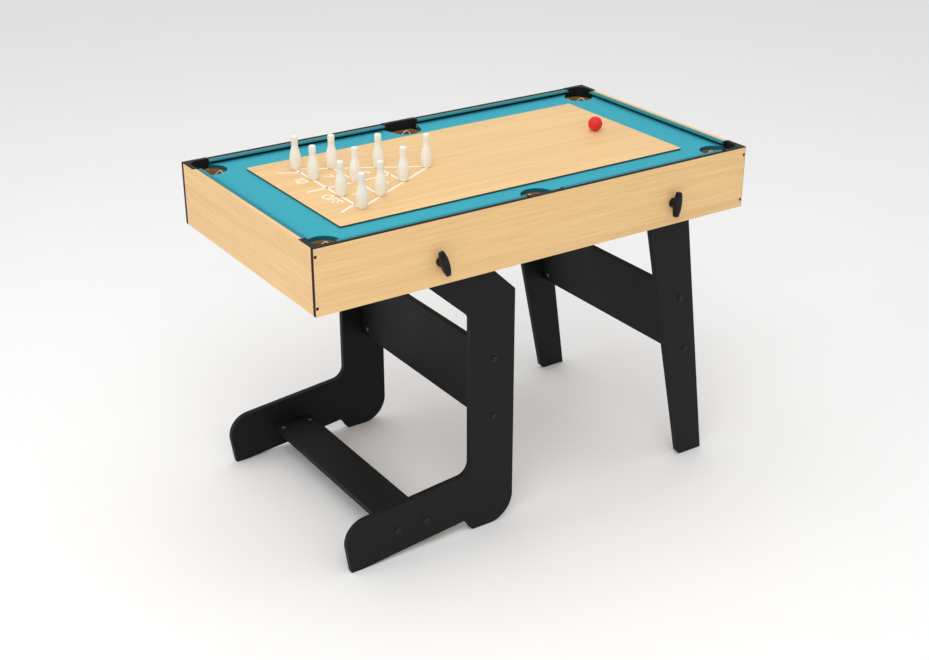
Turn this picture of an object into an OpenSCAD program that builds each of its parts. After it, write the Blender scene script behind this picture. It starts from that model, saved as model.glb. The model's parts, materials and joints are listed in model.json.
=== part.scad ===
// Folding table for pocket, bowling and shuffleboard play.
// The origin is on the floor under the middle of the table top.
// X runs along the table, Y runs from the front to the rear, and Z points up.

/* [Table frame] */
// Length of the table over its end panels
table_len = 1100; // [960:10:1400]
// Width of the table over its side panels
table_wid = 602; // [520:2:760]
// Height of the panels' top edges above the floor
table_h = 761.5; // [700:0.5:860]
// Height of the panels
panel_h = 141.5; // [130:0.5:200]
// Thickness of the side and end panels
panel_t = 9; // [9:0.5:16]
// Thickness of the black edge band
band_t = 0.6; // [0.4:0.1:2]
// Distance of a frame screw from the panel's top or bottom edge
screw_margin = 17.5; // [10:0.5:30]

/* [Bed] */
// Drop from the panels' top edges to the cloth
bed_drop = 12; // [11:0.5:19]
// Thickness of the bed board
bed_t = 9; // [6:0.5:15]
// Thickness of the cloth on the bed
cloth_t = 1; // [0.6:0.1:2]
// Width of a batten under the bed
batten_w = 40; // [25:1:60]
// Thickness of a batten under the bed
batten_t = 15; // [10:1:18]
// Distance of a batten from the middle of the table
batten_x = 95; // [70:5:110]
// Depth of a cushion from the panel to its nose
cushion_d = 13; // [9:0.5:16]
// Height of a cushion
cushion_h = 7.4; // [5:0.1:9]

/* [Pockets] */
// Distance of a corner pocket's centre from the panels' inner faces
corner_set = 39; // [37:0.5:44]
// Radius of the bed's hole at a corner pocket
corner_hole_r = 34.7; // [28:0.1:36]
// Inside rounding of a corner cap's wall
corner_round = 22; // [12:1:30]
// Distance of a middle pocket's centre from the panel's inner face
middle_set = 28; // [24:0.5:32]
// Radius of the bed's hole at a middle pocket
middle_hole_r = 37.2; // [32:0.1:39]
// Thickness of the pocket caps' walls
cap_wall = 1.2; // [1:0.1:1.8]
// Thickness of the pocket caps' top flange
flange_t = 1.2; // [1:0.1:3]
// Length of a corner cap's arms from the panels' inner corner
cap_reach = 49; // [46:0.5:54]
// Half length of a middle cap
middle_half = 45.5; // [44:0.5:50]
// Reach of the caps' ends from the panels' inner faces
cap_ear = 6; // [3:0.5:8]
// Depth of a pocket bag below the bed
bag_h = 85; // [60:1:90]
// Wall of a pocket bag
bag_wall = 2; // [1.5:0.1:3]
// Width of a corner block along each panel
block_w = 22; // [16:1:22]
// Height of a corner block
block_h = 24; // [15:1:40]

/* [Legs] */
// Thickness of the leg boards
leg_t = 14; // [12:0.5:18]
// Gap between the side panel and the leg
leg_gap = 6; // [2.5:0.1:7]
// Depth of both pivots below the panels' top edges
pivot_drop = 89.5; // [81:0.5:110]
// Distance of the stand's pivot from the table's left end
stand_pivot_in = 284; // [250:1:300]
// Distance of the straight legs' pivot from the table's right end
leg_pivot_in = 209; // [180:1:240]
// Radius of a leg's round head
head_r = 57; // [50:0.5:60]
// Distance from the stand's pivot to the column's inner edge
column_offset = 82; // [72:1:100]
// Width of the stand's column
column_w = 114; // [90:1:130]
// Height of the column's inner top corner
column_in_top = 521; // [480:1:540]
// Height of the column's outer top corner
column_out_top = 560.5; // [540:0.5:590]
// Reach of the foot from the stand's pivot to the tip of its toe
toe_reach = 232; // [190:1:260]
// Height of the foot where it meets the column
foot_h = 146; // [120:1:170]
// Fall of the foot's top from the column to the toe
foot_fall = 31; // [15:1:40]
// Radius of the heel
heel_r = 62; // [40:1:80]
// Radius of the toe
toe_r = 54; // [30:1:60]
// Distance from the straight legs' pivot to the inner corner of their foot
leg_foot_in = 81; // [60:1:100]
// Distance from the straight legs' pivot to the outer corner of their foot
leg_foot_out = 154; // [130:1:170]

/* [Stretchers] */
// Thickness of the stretcher boards
stretcher_t = 14; // [12:0.5:18]
// Height of the boards between the uprights
stretcher_h = 176; // [140:2:200]
// Height of the stand's stretcher above the floor, at its middle
stand_stretcher_z = 340; // [300:1:400]
// Width of the flat board between the feet
foot_board_w = 98; // [80:1:120]
// Height of the flat board's middle plane above the floor
foot_board_z = 66; // [60:1:80]
// Distance from the stand's pivot back to the middle of the flat board
foot_board_back = 68.5; // [50:0.5:90]
// Height of the straight legs' stretcher above the floor, at its middle
leg_stretcher_z = 355; // [320:1:400]
// Distance of the straight legs' stretcher outwards from the middle of their boards
leg_stretcher_out = 13; // [0:0.5:20]

/* [Fasteners] */
// Radius of the bolts
bolt_r = 3; // [2.5:0.5:4]
// Length of the bolts under their heads
bolt_len = 50; // [44:1:60]
// Radius of the clamping studs
stud_r = 4; // [3:0.5:5]
// Running clearance of the studs in their bores, on the radius
run_fit = 0.05; // [0.02:0.01:0.08]
// Length of a knob's bar
knob_len = 56; // [44:1:64]
// Width of a knob's bar at its middle
knob_w = 18; // [14:0.5:22]
// Distance that a knob stands out from the panel
knob_out = 23; // [18:0.5:30]

/* [Game board and loose pieces] */
// Distance of the game board's ends from the table's ends
board_end_gap = 110; // [95:1:140]
// Distance of the game board's sides from the table's sides
board_side_gap = 92; // [80:1:110]
// Thickness of the game board
board_t = 4; // [3:0.5:6]
// Height of a pin
pin_h = 75; // [60:1:90]
// Largest radius of a pin
pin_r = 12.7; // [10:0.1:15]
// Radius of the ball
ball_r = 16.7; // [12:0.1:18]
// Distance of the head pin from the game board's left end
head_pin_in = 332; // [280:1:380]
// Distance of the ball from the game board's right end
ball_in = 83; // [30:1:200]

/* [Hidden] */
$fn = 48;
half_len = table_len / 2;
half_wid = table_wid / 2;
// Reach of a cutting shape past the face that it cuts.
cut = 1;
// How far the edge of a flared opening runs inside its circle, so that the two cross.
flare_lap = 0.2;
// Gap between faces of pieces that move apart.
body_gap = 0.3;
// Clearance between pieces that stay together.
fit = 0.2;

// Heights of the faces, from the floor up.
panel_bottom = table_h - panel_h;
cloth_top = table_h - bed_drop;
bed_top = cloth_top - cloth_t;
bed_bottom = bed_top - bed_t;
pivot_z = table_h - pivot_drop;
cushion_drop = 0.6;
cushion_z = table_h - cushion_h - cushion_drop;
board_bottom = cloth_top + body_gap;
board_top = board_bottom + board_t;
piece_z = board_top + body_gap;

// Places of the pivots along the table.
stand_pivot_x = stand_pivot_in - half_len;
leg_pivot_x = half_len - leg_pivot_in;
stand_pivot = [stand_pivot_x, pivot_z];
leg_pivot = [leg_pivot_x, pivot_z];

// Places of the leg boards across the table.
leg_outer_y = half_wid - panel_t - leg_gap;
leg_inner_y = leg_outer_y - leg_t;

// Places of the stand's outline.
column_in = stand_pivot_x + column_offset;
column_out = column_in + column_w;
toe_x = stand_pivot_x - toe_reach;
toe_flat = 27;
toe_lean = 13;
arch_h = 29;
arch_end = 14;
heel_flat = 7;
arm_fillet = 14;
foot_fillet = 30;
foot_slope = foot_fall / (column_in - toe_x);

// Places of the stretchers' middles, as x and z, and of their bolts from there.
leg_lean = (leg_foot_in + leg_foot_out) / 2 / pivot_z;
leg_stretcher_tilt = atan(leg_lean);
stand_stretcher_at = [column_in + column_w / 2 + 3, stand_stretcher_z];
foot_board_at = [stand_pivot_x - foot_board_back, foot_board_z];
leg_stretcher_at = [
    leg_pivot_x + leg_lean * (pivot_z - leg_stretcher_z) + leg_stretcher_out,
    leg_stretcher_z
];
stretcher_bolt_margin = 19;
foot_bolt_margin = 13;
leg_foot_chamfer = 9;
stand_bolt_places = concat(
    bolt_places(stand_stretcher_at, 0, stretcher_h, stretcher_bolt_margin),
    bolt_places(foot_board_at, 90, foot_board_w, foot_bolt_margin)
);
leg_bolt_places = bolt_places(leg_stretcher_at, leg_stretcher_tilt, stretcher_h, stretcher_bolt_margin);

// Fasteners.
bolt_head_r = 6.5;
bolt_head_h = 3;
bolt_socket_r = 2.3;
nut_r = 5;
nut_inset = 28;
bush_r = 7;
bush_flange_r = 12;
stud_past = 3;
screw_r = 1.8;
screw_head_r = 3.3;
screw_head_h = 2.4;
screw_len = 36;
screw_levels = [panel_bottom + screw_margin, table_h - screw_margin];

// Knobs.
hub_r = 11;
hub_h = 12;
knob_end_w = 9;
stand_knob_tilt = 17;
leg_knob_tilt = -6;

// Pockets: the insets are from the table's outer faces to the pockets' centres.
corner_inset = panel_t + corner_set;
middle_inset = panel_t + middle_set;
cap_arm = panel_t + cap_reach;
cushion_start = cap_arm;
// Outer and inner faces of the caps' walls, from the table's outer faces.
wall_out = panel_t + fit;
wall_in = wall_out + cap_wall;
corner_ear_w = 3;
middle_ear_w = 4;
middle_round = 8;
bag_rim = 0.8;
bag_taper = 4;
bag_round = 10;

// Game board and loose pieces.
board_len = table_len - 2 * board_end_gap;
board_wid = table_wid - 2 * board_side_gap;
board_corner_r = 4;
head_pin_x = head_pin_in - board_len / 2;
ball_x = board_len / 2 - ball_in;
pin_rows = [
    [0, [0]],
    [-88, [57, -48]],
    [-174.5, [108.5, 6, -100]],
    [-243.5, [146, 65, -55, -143]]
];
pin_places = [for (row = pin_rows) for (y = row[1]) [head_pin_x + row[0], y]];
// Radius of a pin as a share of its largest radius, against its height as a share of the whole.
pin_shape = [
    [0, 0.74], [0.02, 0.82], [0.10, 0.92], [0.20, 0.99], [0.28, 1], [0.36, 0.98], [0.46, 0.88],
    [0.56, 0.72], [0.64, 0.60], [0.70, 0.555], [0.75, 0.55], [0.80, 0.58], [0.86, 0.62], [0.91, 0.61],
    [0.95, 0.53], [0.98, 0.37], [1, 0]
];

// Helpers ---------------------------------------------------------------

// Unit vector from a to b.
function unit(a, b) = (b - a) / norm(b - a);

// Point where the line from p touches the circle of radius r about c; side is 1 or -1.
function touch(c, r, p, side) =
    let (d = p - c, a = atan2(d[1], d[0]), s = acos(r / norm(d)))
    c + r * [cos(a + side * s), sin(a + side * s)];

// Unit vector square to u, pointing away from v.
function away(u, v) = unit([0, 0], (u * v) * u - v);

// The area between a corner and the arc of radius r that rounds it, with a lap past both edges.
// a and b are points on the corner's two edges.
module corner_area(p, a, b, r) {
    u = unit(p, a);
    v = unit(p, b);
    half = acos(u * v) / 2;
    along = r / tan(half);
    middle = p + r / sin(half) * unit([0, 0], u + v);
    off_u = away(u, v);
    off_v = away(v, u);
    difference() {
        polygon([p + off_u + off_v, p + along * u + off_u, middle, p + along * v + off_v]);
        translate(middle) circle(r = r, $fn = 64);
    }
}

// Turns an outline in x and z into a board, from y = 0 towards the rear.
module board_upright(t) {
    translate([0, t, 0]) rotate([90, 0, 0]) linear_extrude(t) children();
}

// Puts children drawn along +Z, outwards from a side panel's outer face, on the front or the rear.
module outwards(x, z, side) {
    translate([x, side * half_wid, z]) rotate([side > 0 ? -90 : 90, 0, 0]) children();
}

// A cylinder across the table, from y0 to y1.
module cross_hole(x, z, r, y0, y1) {
    translate([x, y1, z]) rotate([90, 0, 0]) cylinder(r = r, h = y1 - y0);
}

// Puts children drawn at the front left corner into each of the four corners.
module in_corner(side_x, side_y) {
    mirror([side_x > 0 ? 1 : 0, 0, 0]) mirror([0, side_y > 0 ? 1 : 0, 0])
        translate([-half_len, -half_wid, 0]) children();
}

// Puts children drawn at the front side's middle on the front or the rear.
module on_side(side_y) {
    mirror([0, side_y > 0 ? 1 : 0, 0]) translate([0, -half_wid, 0]) children();
}

// Table frame -----------------------------------------------------------

module side_panel(side_y) {
    y0 = side_y > 0 ? half_wid - panel_t : -half_wid;
    color("burlywood") difference() {
        translate([-half_len + band_t, y0, panel_bottom])
            cube([table_len - 2 * band_t, panel_t, panel_h - band_t]);
        for (x = [stand_pivot_x, leg_pivot_x])
            cross_hole(x, pivot_z, stud_r + run_fit, y0 - cut, y0 + panel_t + cut);
        for (side_x = [-1, 1])
            for (z = screw_levels)
                outwards(side_x * (half_len - panel_t / 2), z, side_y) {
                    translate([0, 0, -panel_t - cut]) cylinder(r = screw_r + fit / 2, h = panel_t + 2 * cut);
                    translate([0, 0, -screw_head_h - fit / 2])
                        cylinder(r = screw_head_r + fit / 2, h = panel_t);
                }
    }
}

module end_panel(side_x) {
    x0 = side_x > 0 ? half_len - panel_t : -half_len;
    inner = half_wid - panel_t;
    color("burlywood") difference() {
        translate([x0, -inner, panel_bottom]) cube([panel_t, 2 * inner, panel_h]);
        for (side_y = [-1, 1])
            for (z = screw_levels)
                outwards(side_x * (half_len - panel_t / 2), z, side_y)
                    translate([0, 0, -screw_len - cut]) cylinder(r = screw_r + fit / 4, h = screw_len + cut);
    }
}

module edge_band(side_y) {
    y0 = side_y > 0 ? half_wid - panel_t : -half_wid;
    color("black") difference() {
        translate([-half_len, y0, panel_bottom]) cube([table_len, panel_t, panel_h]);
        translate([-half_len + band_t, y0 - cut, panel_bottom - cut])
            cube([table_len - 2 * band_t, panel_t + 2 * cut, panel_h - band_t + cut]);
        for (side_x = [-1, 1])
            for (z = screw_levels)
                outwards(side_x * (half_len - panel_t / 2), z, side_y)
                    translate([0, 0, -screw_len]) cylinder(r = screw_r + fit / 2, h = screw_len);
    }
}

module frame_screws() {
    color("black")
        for (side_x = [-1, 1], side_y = [-1, 1])
            for (z = screw_levels)
                outwards(side_x * (half_len - panel_t / 2), z, side_y) {
                    difference() {
                        union() {
                            translate([0, 0, -screw_len]) cylinder(r = screw_r, h = screw_len);
                            translate([0, 0, -screw_head_h]) cylinder(r = screw_head_r, h = screw_head_h);
                        }
                        for (a = [0, 90])
                            rotate(a) translate([-2, -0.4, -1]) cube([4, 0.8, 1 + cut]);
                    }
                }
}

// Bed -------------------------------------------------------------------

// The bed's opening at a corner pocket, drawn with the table's outer corner at the origin.
module corner_opening() {
    c = [corner_inset, corner_inset];
    tip = [cap_arm, panel_t];
    edge = touch(c, corner_hole_r - flare_lap, tip, 1);
    translate(c) circle(r = corner_hole_r);
    polygon([
        [panel_t - cut, panel_t - cut], [cap_arm, panel_t - cut], tip, edge,
        c, [edge[1], edge[0]], [panel_t, cap_arm], [panel_t - cut, cap_arm]
    ]);
}

// The bed's opening at a middle pocket, drawn with the front side's outer face at y = 0.
module middle_opening() {
    c = [0, middle_inset];
    tip = [middle_half, panel_t];
    edge = touch(c, middle_hole_r - flare_lap, tip, 1);
    translate(c) circle(r = middle_hole_r);
    polygon([
        [-middle_half, panel_t - cut], [middle_half, panel_t - cut], tip, edge,
        c, [-edge[0], edge[1]], [-middle_half, panel_t]
    ]);
}

// Outline of the bed with its pocket openings.
module bed_outline() {
    difference() {
        square([table_len - 2 * (panel_t + body_gap), table_wid - 2 * (panel_t + body_gap)], center = true);
        for (side_x = [-1, 1], side_y = [-1, 1])
            in_corner(side_x, side_y) corner_opening();
        for (side_y = [-1, 1])
            on_side(side_y) middle_opening();
    }
}

module bed_board() {
    color("peru") translate([0, 0, bed_bottom]) linear_extrude(bed_t) bed_outline();
}

module bed_cloth() {
    color("mediumturquoise") translate([0, 0, bed_top]) linear_extrude(cloth_t) bed_outline();
}

module bed_battens() {
    color("peru")
        for (side_x = [-1, 1])
            translate([side_x * batten_x - batten_w / 2, -half_wid + panel_t, bed_bottom - batten_t])
                cube([batten_w, table_wid - 2 * panel_t, batten_t]);
}

module end_cleats() {
    long = table_wid - 4 * corner_inset - 20;
    color("peru")
        for (side_x = [-1, 1])
            translate([side_x * (half_len - panel_t - batten_t / 2), 0, bed_bottom - batten_t / 2])
                cube([batten_t, long, batten_t], center = true);
}

module corner_blocks() {
    color("peru")
        for (side_x = [-1, 1], side_y = [-1, 1])
            in_corner(side_x, side_y)
                translate([panel_t, panel_t, panel_bottom]) linear_extrude(block_h)
                    polygon([[0, 0], [block_w, 0], [0, block_w]]);
}

// Cushion ---------------------------------------------------------------

// Section of a cushion: x runs from the panel to the nose, y is up from its lower edge.
module cushion_section() {
    nose = cushion_h / 2;
    square([cushion_d - nose, cushion_h]);
    translate([cushion_d - nose, nose]) circle(r = nose);
}

// A cushion on the front panel from x0 to x1.
module cushion_front(x0, x1) {
    color("teal") translate([x0, -half_wid + panel_t, cushion_z])
        rotate([90, 0, 90]) linear_extrude(x1 - x0) cushion_section();
}

// The cushion on the left end panel.
module cushion_left() {
    long = table_wid - 2 * (cushion_start + fit);
    color("teal") translate([-half_len + panel_t, long / 2, cushion_z])
        rotate([90, 0, 0]) linear_extrude(long) cushion_section();
}

module cushion_long(side_x, side_y) {
    mirror([side_x > 0 ? 1 : 0, 0, 0]) mirror([0, side_y > 0 ? 1 : 0, 0])
        cushion_front(-half_len + cushion_start + fit, -middle_half - fit);
}

// Pockets ---------------------------------------------------------------

// The open side of a corner cap: a rounded corner at the distance d from the outer faces.
module inside_corner(d, r) {
    far = cap_arm + cut;
    middle = wall_in + corner_round;
    translate([d, middle]) square([far - d, far - middle]);
    translate([middle, d]) square([far - middle, far - d]);
    translate([middle, middle]) circle(r = r, $fn = 96);
}

// The ends of a corner cap's arms, which cover the cushions' ends.
module corner_ears(y0) {
    translate([cap_arm - corner_ear_w, y0]) square([corner_ear_w, panel_t + cap_ear - y0]);
    translate([y0, cap_arm - corner_ear_w]) square([panel_t + cap_ear - y0, corner_ear_w]);
}

// A corner cap, drawn with the table's outer corner at the origin.
module corner_cap() {
    color([0.12, 0.12, 0.12]) {
        translate([0, 0, table_h]) linear_extrude(flange_t) {
            difference() {
                square(cap_arm);
                inside_corner(wall_in, corner_round);
            }
            corner_ears(0);
        }
        translate([0, 0, bed_bottom]) linear_extrude(table_h - bed_bottom + cut / 2) intersection() {
            difference() {
                inside_corner(wall_out, corner_round + cap_wall);
                inside_corner(wall_in, corner_round);
            }
            square(cap_arm);
        }
        translate([0, 0, cloth_top + body_gap]) linear_extrude(table_h - cloth_top) corner_ears(wall_out);
        translate([0, 0, bed_bottom]) linear_extrude(flange_t) difference() {
            intersection() {
                inside_corner(wall_out, corner_round + cap_wall);
                square(corner_inset - fit);
            }
            translate([corner_inset, corner_inset]) circle(r = corner_hole_r);
        }
    }
}

// The open side of a middle cap, from the distance d off the outer face.
module inside_middle(d) {
    far = panel_t + cap_ear + cut;
    half = middle_half - middle_ear_w;
    translate([-half + middle_round, d]) square([2 * (half - middle_round), far - d]);
    for (side_x = [-1, 1])
        translate([side_x * (half - middle_round), d + middle_round]) circle(r = middle_round);
    translate([-half, d + middle_round]) square([2 * half, middle_round + cut]);
}

// A middle cap, drawn with the front side's outer face at y = 0.
module middle_cap() {
    edge = touch([0, middle_inset], middle_hole_r, [middle_half, panel_t], 1);
    foot = middle_half - 2 * fit;
    color([0.12, 0.12, 0.12]) {
        translate([0, 0, table_h]) linear_extrude(flange_t) difference() {
            translate([-middle_half, 0]) square([2 * middle_half, panel_t + cap_ear]);
            inside_middle(wall_in);
        }
        translate([0, 0, cloth_top + body_gap]) linear_extrude(table_h - cloth_top) difference() {
            translate([-middle_half, wall_out]) square([2 * middle_half, panel_t + cap_ear - wall_out]);
            inside_middle(wall_in);
        }
        translate([0, 0, bed_bottom]) {
            linear_extrude(table_h - bed_bottom)
                translate([-foot, wall_out]) square([2 * foot, cap_wall]);
            linear_extrude(flange_t) difference() {
                polygon([
                    [-foot, wall_out], [foot, wall_out], edge - [2 * fit, 0], [2 * fit - edge[0], edge[1]]
                ]);
                translate([0, middle_inset]) circle(r = middle_hole_r);
            }
        }
    }
}

// The outside of a pocket bag about its own axis, with its rim at the bed's underside.
module bag_outside(rim_r) {
    low_r = rim_r - bag_taper;
    rotate_extrude($fn = 64)
        polygon([[0, -bag_h], [low_r - bag_round, -bag_h], [low_r, -bag_h + bag_round], [rim_r, 0], [0, 0]]);
}

// The hollow of a pocket bag.
module bag_inside(rim_r) {
    low_r = rim_r - bag_taper;
    floor_z = -bag_h + bag_wall;
    rotate_extrude($fn = 64)
        polygon([
            [0, floor_z],
            [low_r - bag_round - bag_wall / 2, floor_z],
            [low_r - bag_wall, -bag_h + bag_round + bag_wall / 2],
            [rim_r - bag_wall, cut],
            [0, cut]
        ]);
}

module corner_bag() {
    rim_r = corner_hole_r + bag_rim;
    color("saddlebrown") translate([corner_inset, corner_inset, bed_bottom]) difference() {
        bag_outside(rim_r);
        bag_inside(rim_r);
    }
}

// The half space behind a flat wall that starts at the depth y.
module behind(y) {
    translate([-half_len, y, -table_h]) cube([table_len, table_wid, 2 * table_h]);
}

// A middle bag is flat where it lies against the side panel.
module middle_bag() {
    rim_r = middle_hole_r + bag_rim;
    flat_y = body_gap - middle_set;
    color("saddlebrown") translate([0, middle_inset, bed_bottom]) difference() {
        intersection() {
            bag_outside(rim_r);
            behind(flat_y);
        }
        intersection() {
            bag_inside(rim_r);
            behind(flat_y + bag_wall);
        }
    }
}

// Stand -----------------------------------------------------------------

// Top of the foot at x.
function foot_top(x) = foot_h - foot_slope * (column_in - x);

module stand_outline() {
    inner_top = [column_in, column_in_top];
    outer_top = [column_out, column_out_top];
    inner_low = [column_in, foot_h];
    arm_in = touch(stand_pivot, head_r, inner_top, -1);
    arm_out = touch(stand_pivot, head_r, outer_top, 1);
    toe_top = [toe_x - toe_lean / 3, foot_top(toe_x - toe_lean / 3)];
    toe_low = [toe_x + toe_lean, 0];
    difference() {
        union() {
            translate(stand_pivot) circle(r = head_r, $fn = 96);
            polygon([stand_pivot, arm_in, inner_top, outer_top, arm_out]);
            polygon([inner_top, [column_in, heel_flat], [column_out, 0], outer_top]);
            polygon([
                toe_low,
                [toe_x + toe_lean + toe_flat, 0],
                [column_in - arch_end, arch_h],
                [column_in + heel_flat, 0],
                [column_out, 0],
                [column_out, foot_h],
                inner_low,
                toe_top
            ]);
            corner_area(inner_low, inner_top, toe_top, foot_fillet);
            corner_area(inner_top, arm_in, inner_low, arm_fillet);
        }
        corner_area([column_out, 0], [column_in, 0], outer_top, heel_r);
        corner_area(toe_top, inner_low, toe_low, toe_r);
    }
}

// The two bolt places of a stretcher, as x and z; w is the board's height.
function bolt_places(at, tilt, w, margin) =
    [for (s = [-1, 1]) at + s * (w / 2 - margin) * [-sin(tilt), cos(tilt)]];

// A leg board with its bolt holes and pivot hole; y0 is the board's front face.
module leg_board(side_y, pivot, places) {
    y0 = side_y > 0 ? leg_inner_y : -leg_outer_y;
    color([0.15, 0.15, 0.15]) difference() {
        translate([0, y0, 0]) board_upright(leg_t) children();
        for (p = places)
            cross_hole(p[0], p[1], bolt_r + fit, y0 - cut, y0 + leg_t + cut);
        cross_hole(pivot[0], pivot[1], bush_r + run_fit, y0 - cut, y0 + leg_t + cut);
    }
}

// Puts a stretcher's own frame in place: its height runs along local Z.
module at_stretcher(at, tilt) {
    translate([at[0], 0, at[1]]) rotate([0, -tilt, 0]) children();
}

// A stretcher board of height w, drilled for its bolts and barrel nuts.
module stretcher_board(w, margin) {
    color([0.15, 0.15, 0.15]) difference() {
        cube([stretcher_t, 2 * leg_inner_y, w], center = true);
        for (side_y = [-1, 1], s = [-1, 1])
            translate([0, side_y * leg_inner_y, s * (w / 2 - margin)]) {
                rotate([90, 0, 0]) cylinder(r = bolt_r + fit, h = 2 * (bolt_len - leg_t + 2), center = true);
                translate([0, -side_y * nut_inset, 0]) rotate([0, 90, 0])
                    cylinder(r = nut_r + fit / 2, h = stretcher_t + 2 * cut, center = true);
            }
    }
}

// The bolts of a stretcher, in its own frame.
module stretcher_bolts(w, margin) {
    for (side_y = [-1, 1], s = [-1, 1])
        translate([0, side_y * leg_outer_y, s * (w / 2 - margin)])
            rotate([side_y > 0 ? -90 : 90, 0, 0]) difference() {
                union() {
                    translate([0, 0, -bolt_len]) cylinder(r = bolt_r, h = bolt_len);
                    cylinder(r = bolt_head_r, h = bolt_head_h - 1);
                    translate([0, 0, bolt_head_h - 1])
                        cylinder(r1 = bolt_head_r, r2 = bolt_head_r - 1.6, h = 1);
                }
                translate([0, 0, bolt_head_h - 2]) cylinder(r = bolt_socket_r, h = 3, $fn = 6);
            }
}

// The barrel nuts of a stretcher, in its own frame.
module stretcher_nuts(w, margin) {
    for (side_y = [-1, 1], s = [-1, 1])
        translate([0, side_y * (leg_inner_y - nut_inset), s * (w / 2 - margin)]) difference() {
            rotate([0, 90, 0]) cylinder(r = nut_r, h = stretcher_t - 2 * body_gap, center = true);
            rotate([90, 0, 0]) cylinder(r = bolt_r + run_fit, h = 4 * nut_r, center = true);
        }
}

module stand_bolts() {
    color("black") {
        at_stretcher(stand_stretcher_at, 0) stretcher_bolts(stretcher_h, stretcher_bolt_margin);
        at_stretcher(foot_board_at, 90) stretcher_bolts(foot_board_w, foot_bolt_margin);
    }
}

module stand_barrel_nuts() {
    color("silver") {
        at_stretcher(stand_stretcher_at, 0) stretcher_nuts(stretcher_h, stretcher_bolt_margin);
        at_stretcher(foot_board_at, 90) stretcher_nuts(foot_board_w, foot_bolt_margin);
    }
}

// The threaded bushes in a pair of legs: the flange keeps the leg off the side panel.
module pivot_bushes(pivot) {
    color("silver")
        for (side_y = [-1, 1])
            outwards(pivot[0], pivot[1], side_y) difference() {
                union() {
                    translate([0, 0, -panel_t - leg_gap]) cylinder(r = bush_flange_r, h = leg_gap - body_gap);
                    translate([0, 0, -panel_t - leg_gap - leg_t]) cylinder(r = bush_r, h = leg_t + cut);
                }
                translate([0, 0, -panel_t - leg_gap - leg_t - cut])
                    cylinder(r = stud_r + run_fit, h = leg_t + leg_gap + 2 * cut);
            }
}

// Straight legs ---------------------------------------------------------

module straight_outline() {
    foot_in = [leg_pivot_x + leg_foot_in, 0];
    foot_out = [leg_pivot_x + leg_foot_out, 0];
    edge_in = touch(leg_pivot, head_r, foot_in, -1);
    edge_out = touch(leg_pivot, head_r, foot_out, 1);
    translate(leg_pivot) circle(r = head_r, $fn = 96);
    polygon([
        foot_in + [leg_foot_chamfer, 0],
        foot_out,
        edge_out,
        leg_pivot,
        edge_in,
        foot_in + leg_foot_chamfer * unit(foot_in, edge_in)
    ]);
}

// Knob ------------------------------------------------------------------

// Outline of a knob's bar: two arcs between its square ends.
module bar_outline() {
    rise = (knob_w - knob_end_w) / 2;
    arc_r = ((knob_len / 2) ^ 2 + rise ^ 2) / (2 * rise);
    intersection() {
        square([knob_w, knob_len], center = true);
        translate([arc_r - knob_w / 2, 0]) circle(r = arc_r, $fn = 180);
        translate([knob_w / 2 - arc_r, 0]) circle(r = arc_r, $fn = 180);
    }
}

// A clamping knob with its stud, drawn outwards from the panel's face.
module knob(pivot, side_y, tilt) {
    stud_in = panel_t + leg_gap + leg_t + stud_past;
    outwards(pivot[0], pivot[1], side_y) rotate(tilt) {
        color([0.05, 0.05, 0.05]) difference() {
            union() {
                translate([0, 0, body_gap]) cylinder(r1 = hub_r, r2 = hub_r - 1, h = hub_h);
                translate([0, 0, hub_h - 1]) linear_extrude(knob_out - hub_h + 1) bar_outline();
                translate([0, 0, -stud_in]) cylinder(r = stud_r, h = stud_in + hub_h);
            }
            translate([0, 0, knob_out - 1]) cylinder(r = 3, h = 2);
        }
    }
}

// Game board and loose pieces --------------------------------------------

module rounded_board(w, d, r) {
    square([w - 2 * r, d], center = true);
    square([w, d - 2 * r], center = true);
    for (side_x = [-1, 1], side_y = [-1, 1])
        translate([side_x * (w / 2 - r), side_y * (d / 2 - r)]) circle(r = r);
}

module game_board() {
    color("burlywood") translate([0, 0, board_bottom])
        linear_extrude(board_t) rounded_board(board_len, board_wid, board_corner_r);
}

module pin(n) {
    color("ivory") translate([pin_places[n - 1][0], pin_places[n - 1][1], piece_z])
        rotate_extrude($fn = 64)
            polygon(concat([[0, 0]], [for (p = pin_shape) [p[1] * pin_r, p[0] * pin_h]]));
}

module ball() {
    color("crimson") translate([ball_x, 0, piece_z + ball_r]) sphere(r = ball_r, $fn = 64);
}

leg_board(-1, stand_pivot, stand_bolt_places) stand_outline();  // stand_leg_front
leg_board(1, stand_pivot, stand_bolt_places) stand_outline();  // stand_leg_rear
at_stretcher(stand_stretcher_at, 0) stretcher_board(stretcher_h, stretcher_bolt_margin);  // stand_stretcher
at_stretcher(foot_board_at, 90) stretcher_board(foot_board_w, foot_bolt_margin);  // foot_stretcher
stand_bolts();
stand_barrel_nuts();
pivot_bushes(stand_pivot);  // stand_pivot_bushes
side_panel(-1);  // side_panel_front
side_panel(1);  // side_panel_rear
end_panel(-1);  // end_panel_left
end_panel(1);  // end_panel_right
edge_band(-1);  // edge_band_front
edge_band(1);  // edge_band_rear
frame_screws();
bed_board();
bed_cloth();
bed_battens();
end_cleats();
corner_blocks();
cushion_left();
mirror([1, 0, 0]) cushion_left();  // cushion_right
cushion_long(-1, -1);  // cushion_front_left
cushion_long(1, -1);  // cushion_front_right
cushion_long(-1, 1);  // cushion_rear_left
cushion_long(1, 1);  // cushion_rear_right
in_corner(-1, -1) corner_cap();  // cap_front_left
in_corner(1, -1) corner_cap();  // cap_front_right
in_corner(-1, 1) corner_cap();  // cap_rear_left
in_corner(1, 1) corner_cap();  // cap_rear_right
on_side(-1) middle_cap();  // cap_front_middle
on_side(1) middle_cap();  // cap_rear_middle
in_corner(-1, -1) corner_bag();  // bag_front_left
in_corner(1, -1) corner_bag();  // bag_front_right
in_corner(-1, 1) corner_bag();  // bag_rear_left
in_corner(1, 1) corner_bag();  // bag_rear_right
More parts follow.
